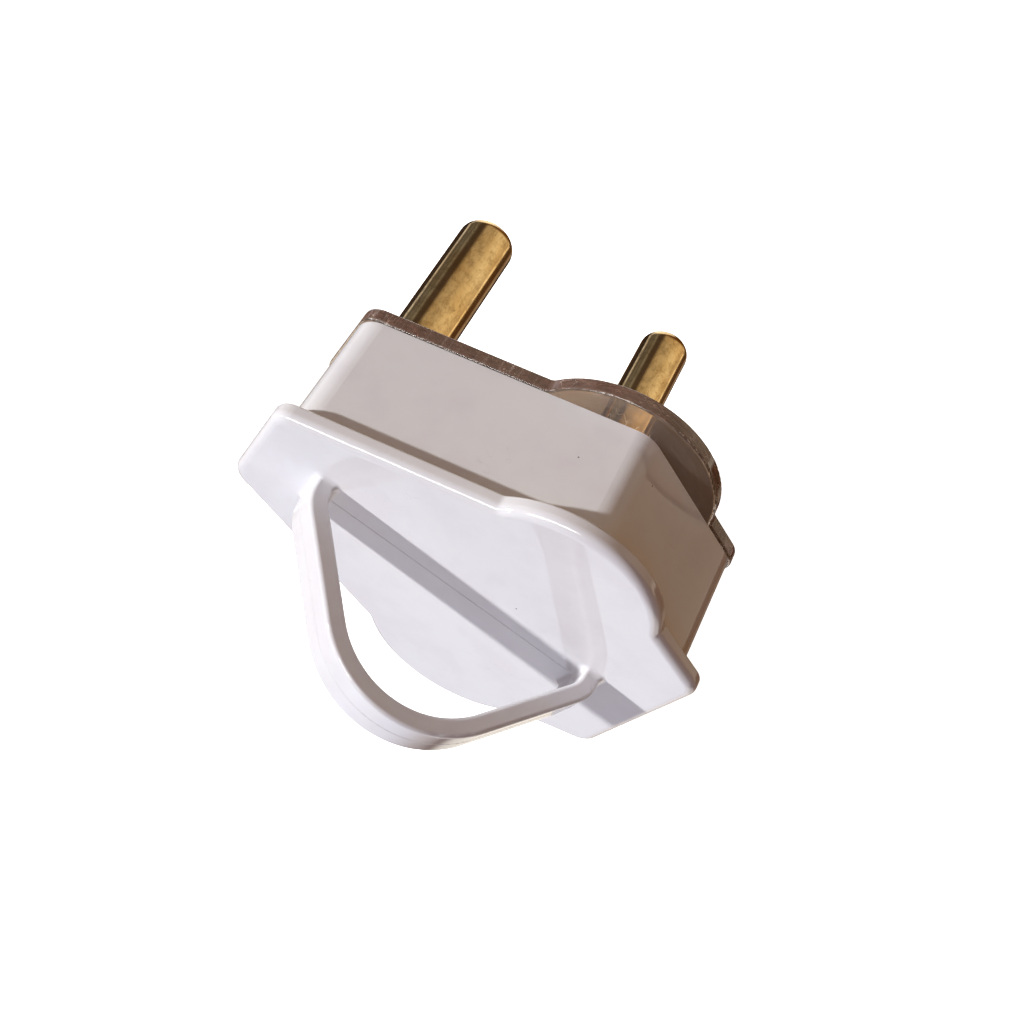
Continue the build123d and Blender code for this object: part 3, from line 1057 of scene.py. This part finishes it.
@dataclass
class Surroundings:
    """Soft light all round: a pale sky, a brown bench, and a ring of panels round the pins.

    A glow from beyond the cord end lights the underside of the loop, and a fill lights the inside through
    the clear plate. A window is mirrored in the back face, a long thin lamp in the rounded edges, and a
    pale sheet in the underside of the loop.
    """

    overhead: Triple = (0.0, -0.707, 0.707)
    sky_behind: Triple = (0.29, 0.28, 0.34)
    sky_ahead: Triple = (0.33, 0.255, 0.17)
    sky_ramp: Ramp = Ramp(-0.8, 0.5)
    bench: Triple = (0.165, 0.07, 0.012)
    horizon: Ramp = Ramp(-0.02, 0.28)
    glow: Patch = Patch((-0.600, -0.300, -0.742), 0.97, 0.87, (2.4, 2.26, 2.12))
    fill: Patch = Patch((-0.197, 0.936, 0.293), 0.97, 0.87, (1.6, 1.56, 1.5))
    window: Patch = Patch((-0.793, -0.575, -0.198), 0.96, 0.86, (1.1, 1.13, 1.3))
    lamp: Patch = Patch((0.463, -0.755, 0.463), 0.96, 0.92, (11.0, 10.8, 10.4), (-0.712, -0.629, -0.313))
    sheet: Patch = Patch((-0.818, 0.278, -0.503), 0.985, 0.96, (1.35, 1.25, 1.1))
    backdrop: Triple = (1.2, 1.2, 1.2)
    ring_near: Ramp = Ramp(0.22, 0.4)
    ring_far: Ramp = Ramp(0.9, 0.75)
    ring: tuple[Band, ...] = (
        Band(-180, (0.40, 0.31, 0.23)),
        Band(-168, (0.34, 0.25, 0.175)),
        Band(-163, (0.05, 0.028, 0.018)),
        Band(-141, (0.05, 0.028, 0.018)),
        Band(-134, (0.40, 0.30, 0.22)),
        Band(-121, (0.36, 0.27, 0.20)),
        Band(-115, (0.10, 0.05, 0.025)),
        Band(-87, (0.12, 0.065, 0.03)),
        Band(-84, (1.45, 1.28, 1.00)),
        Band(-80, (1.35, 1.17, 0.90)),
        Band(-76, (0.70, 0.56, 0.39)),
        Band(-44, (0.98, 0.84, 0.62)),
        Band(-18, (0.79, 0.66, 0.47)),
        Band(0, (0.63, 0.52, 0.37)),
        Band(36, (0.48, 0.39, 0.28)),
        Band(49, (0.08, 0.055, 0.045)),
        Band(69, (0.08, 0.06, 0.05)),
        Band(76, (0.24, 0.225, 0.225)),
        Band(84, (0.19, 0.18, 0.18)),
        Band(87, (0.09, 0.08, 0.075)),
        Band(91, (0.18, 0.17, 0.17)),
        Band(104, (0.14, 0.13, 0.13)),
        Band(107, (0.07, 0.06, 0.055)),
        Band(111, (0.20, 0.19, 0.19)),
        Band(117, (0.80, 0.80, 0.88)),
        Band(121, (0.80, 0.80, 0.88)),
        Band(124, (0.03, 0.025, 0.02)),
        Band(172, (0.07, 0.04, 0.025)),
        Band(179, (0.40, 0.31, 0.23)),
    )

    def build(self) -> None:
        """Fills the world. The camera itself sees a plain pale backdrop."""
        world = bpy.data.worlds.new("soft_studio")
        bpy.context.scene.world = world
        world.use_nodes = True
        graph = NodeGraph(world.node_tree)
        view = graph.add("TexCoord", out="Generated")
        ahead = graph.add("SeparateXYZ", {0: view}, "Y")
        mirrored = graph.add("LightPath", out="Is Glossy Ray")
        around = self.sky_and_bench(graph, view, ahead)
        for patch in (self.glow, self.fill):
            around = self.lit_patch(graph, view, around, patch)
        for patch in (self.window, self.lamp):
            around = self.lit_patch(graph, view, around, patch, mirrored)
        around = self.panels(graph, view, ahead, around, mirrored)
        around = self.lit_patch(graph, view, around, self.sheet, mirrored)
        seen = graph.add("LightPath", out="Is Camera Ray")
        choice = {"Factor": seen, "A": around, "B": (*self.backdrop, 1.0)}
        shown = graph.add("Mix", choice, "Result", **COLOURS)
        light = graph.add("Background", {"Color": shown})
        graph.add("OutputWorld", {"Surface": light})

    def sky_and_bench(self, graph: NodeGraph, view: Socket, ahead: Socket) -> Socket:
        """Draws the sky above the resting plug, from behind to ahead, and the bench below it.

        Args:
            graph: The world's nodes.
            view: The direction looked in.
            ahead: Part of the direction along +Y.

        Returns:
            The colour.
        """
        front = graph.add("MapRange", {"Value": ahead, **self.sky_ramp.inputs}, **SMOOTH)
        tones = {"A": (*self.sky_behind, 1.0), "B": (*self.sky_ahead, 1.0)}
        sky = graph.add("Mix", {"Factor": front, **tones}, "Result", **COLOURS)
        height = graph.add("VectorMath", {0: view, 1: self.overhead}, "Value", operation="DOT_PRODUCT")
        above = graph.add("MapRange", {"Value": height, **self.horizon.inputs}, **SMOOTH)
        return graph.add("Mix", {"Factor": above, "A": (*self.bench, 1.0), "B": sky}, "Result", **COLOURS)

    def lit_patch(
        self, graph: NodeGraph, view: Socket, around: Socket, patch: Patch, rays: Socket | None = None
    ) -> Socket:
        """Puts a patch of light over the surroundings.

        Args:
            graph: The world's nodes.
            view: The direction looked in.
            around: The surroundings without the patch.
            patch: The patch.
            rays: 1 for the rays that see the patch. Without it all of them do.

        Returns:
            The surroundings with the patch.
        """
        near = graph.add("VectorMath", {0: view, 1: patch.toward}, "Value", operation="DOT_PRODUCT")
        limits = Ramp(patch.gone, patch.full)
        share = graph.add("MapRange", {"Value": near, **limits.inputs}, **SMOOTH)
        if patch.thin_along is not None:
            beside = graph.add("VectorMath", {0: view, 1: patch.thin_along}, "Value", operation="DOT_PRODUCT")
            aside = graph.add("Math", {0: beside}, operation="ABSOLUTE")
            limits = Ramp(patch.thin_gone, patch.thin_full)
            thin = graph.add("MapRange", {"Value": aside, **limits.inputs}, **SMOOTH)
            share = graph.add("Math", {0: share, 1: thin}, operation="MULTIPLY")
        if rays is not None:
            share = graph.add("Math", {0: share, 1: rays}, operation="MULTIPLY")
        tones = {"A": around, "B": (*patch.colour, 1.0)}
        return graph.add("Mix", {"Factor": share, **tones}, "Result", **COLOURS)

    def panels(
        self, graph: NodeGraph, view: Socket, ahead: Socket, around: Socket, mirrored: Socket
    ) -> Socket:
        """Puts the ring of panels over the surroundings, for rays off a glossy or through a clear piece.

        Args:
            graph: The world's nodes.
            view: The direction looked in.
            ahead: Part of the direction along +Y.
            around: The surroundings without the ring.
            mirrored: 1 for rays that come off a glossy piece.

        Returns:
            The surroundings with the ring.
        """
        bent = graph.add("LightPath", out="Is Transmission Ray")
        rays = graph.add("Math", {0: mirrored, 1: bent}, operation="MAXIMUM")
        entered = graph.add("MapRange", {"Value": ahead, **self.ring_near.inputs}, **SMOOTH)
        kept = graph.add("MapRange", {"Value": ahead, **self.ring_far.inputs}, **SMOOTH)
        on_ring = graph.add("Math", {0: entered, 1: kept}, operation="MULTIPLY")
        share = graph.add("Math", {0: on_ring, 1: rays}, operation="MULTIPLY")
        tones = {"A": around, "B": self.ring_colour(graph, view)}
        return graph.add("Mix", {"Factor": share, **tones}, "Result", **COLOURS)

    def ring_colour(self, graph: NodeGraph, view: Socket) -> Socket:
        """The ring's colour by the angle about +Y.

        Args:
            graph: The world's nodes.
            view: The direction looked in.

        Returns:
            The colour.
        """
        side = graph.add("SeparateXYZ", {0: view}, "X")
        up = graph.add("SeparateXYZ", {0: view}, "Z")
        angle = graph.add("Math", {0: up, 1: side}, operation="ARCTAN2")
        place = graph.add("MapRange", {"Value": angle, **Ramp(-np.pi, np.pi).inputs})
        colour = graph.add("ValToRGB", {"Fac": place}, "Color")
        # A new ramp comes with its first stops, and the others are added
        stops = colour.node.color_ramp.elements
        first = len(stops)
        for index, band in enumerate(self.ring):
            part = (band.degrees + 180) / 360
            stop = stops[index] if index < first else stops.new(part)
            stop.position = part
            stop.color = (*band.colour, 1.0)
        return colour


@dataclass
class Studio:
    """Plain pale floor, the key light and the camera.

    The camera's place is in millimetres, its lens too, and its limits and the floor's half size in metres.
    """

    eye: Triple = (150.70, -108.91, 37.71)
    right: Triple = (0.44943, 0.41409, -0.79154)
    down: Triple = (-0.35896, -0.72768, -0.58450)
    ahead: Triple = (-0.81802, 0.54682, -0.17840)
    lens: float = 46.877
    sensor: float = 36.0
    nearest: float = 0.001
    farthest: float = 50.0
    floor_half_size: float = 6.0
    key_from: Triple = (0.04, -0.5, 0.865)
    key_strength: float = 3.25
    key_spread: float = 0.05

    def build(self) -> None:
        """Makes the floor, the surroundings, the key light and the camera."""
        self.make_floor()
        Surroundings().build()
        self.make_key()
        self.make_camera()

    def make_floor(self) -> None:
        """Lays a large pale floor at the lowest point of the object, seen by the camera alone."""
        low = CAD_BOX[0].z
        half = self.floor_half_size
        corners = np.array([[-half, -half, low], [half, -half, low], [half, half, low], [-half, half, low]])
        mesh = bpy.data.meshes.new("studio_floor")
        mesh.from_pydata(corners.tolist(), [], [(0, 1, 2, 3)])
        mesh.materials.append(PaleTable().build())
        floor = bpy.data.objects.new("studio_floor", mesh)
        bpy.context.scene.collection.objects.link(floor)
        floor.visible_diffuse = False
        floor.visible_glossy = False
        floor.visible_transmission = False

    def make_key(self) -> None:
        """Adds the soft-edged key light from behind and above."""
        key = bpy.data.lights.new("key", "SUN")
        key.energy = self.key_strength
        key.angle = self.key_spread
        lamp = bpy.data.objects.new("key", key)
        lamp.rotation_mode = "QUATERNION"
        lamp.rotation_quaternion = Vector(self.key_from).to_track_quat("Z", "Y")
        bpy.context.scene.collection.objects.link(lamp)

    def make_camera(self) -> None:
        """Places the camera where the photo was taken from."""
        data = bpy.data.cameras.new("photo_camera")
        data.lens = self.lens
        data.sensor_width = self.sensor
        data.sensor_fit = "HORIZONTAL"
        data.clip_start = self.nearest
        data.clip_end = self.farthest
        camera = bpy.data.objects.new("photo_camera", data)
        axes = np.array([self.right, -np.array(self.down), -np.array(self.ahead)]).T
        turn = Matrix(axes.tolist()).to_4x4()
        camera.matrix_world = Matrix.Translation(Vector(self.eye) * MM) @ turn
        bpy.context.scene.collection.objects.link(camera)
        bpy.context.scene.camera = camera
        bpy.context.scene.view_settings.view_transform = "Standard"


def main() -> None:
    """Builds each sub-assembly in order."""
    logging.basicConfig(level=logging.INFO, format="%(name)s: %(message)s")
    for part in (Cover(), PinPlate(), Pins(), Fasteners(), Studio()):
        part.build()
        LOG.info("built %s", type(part).__name__)


if __name__ == "__main__":
    main()
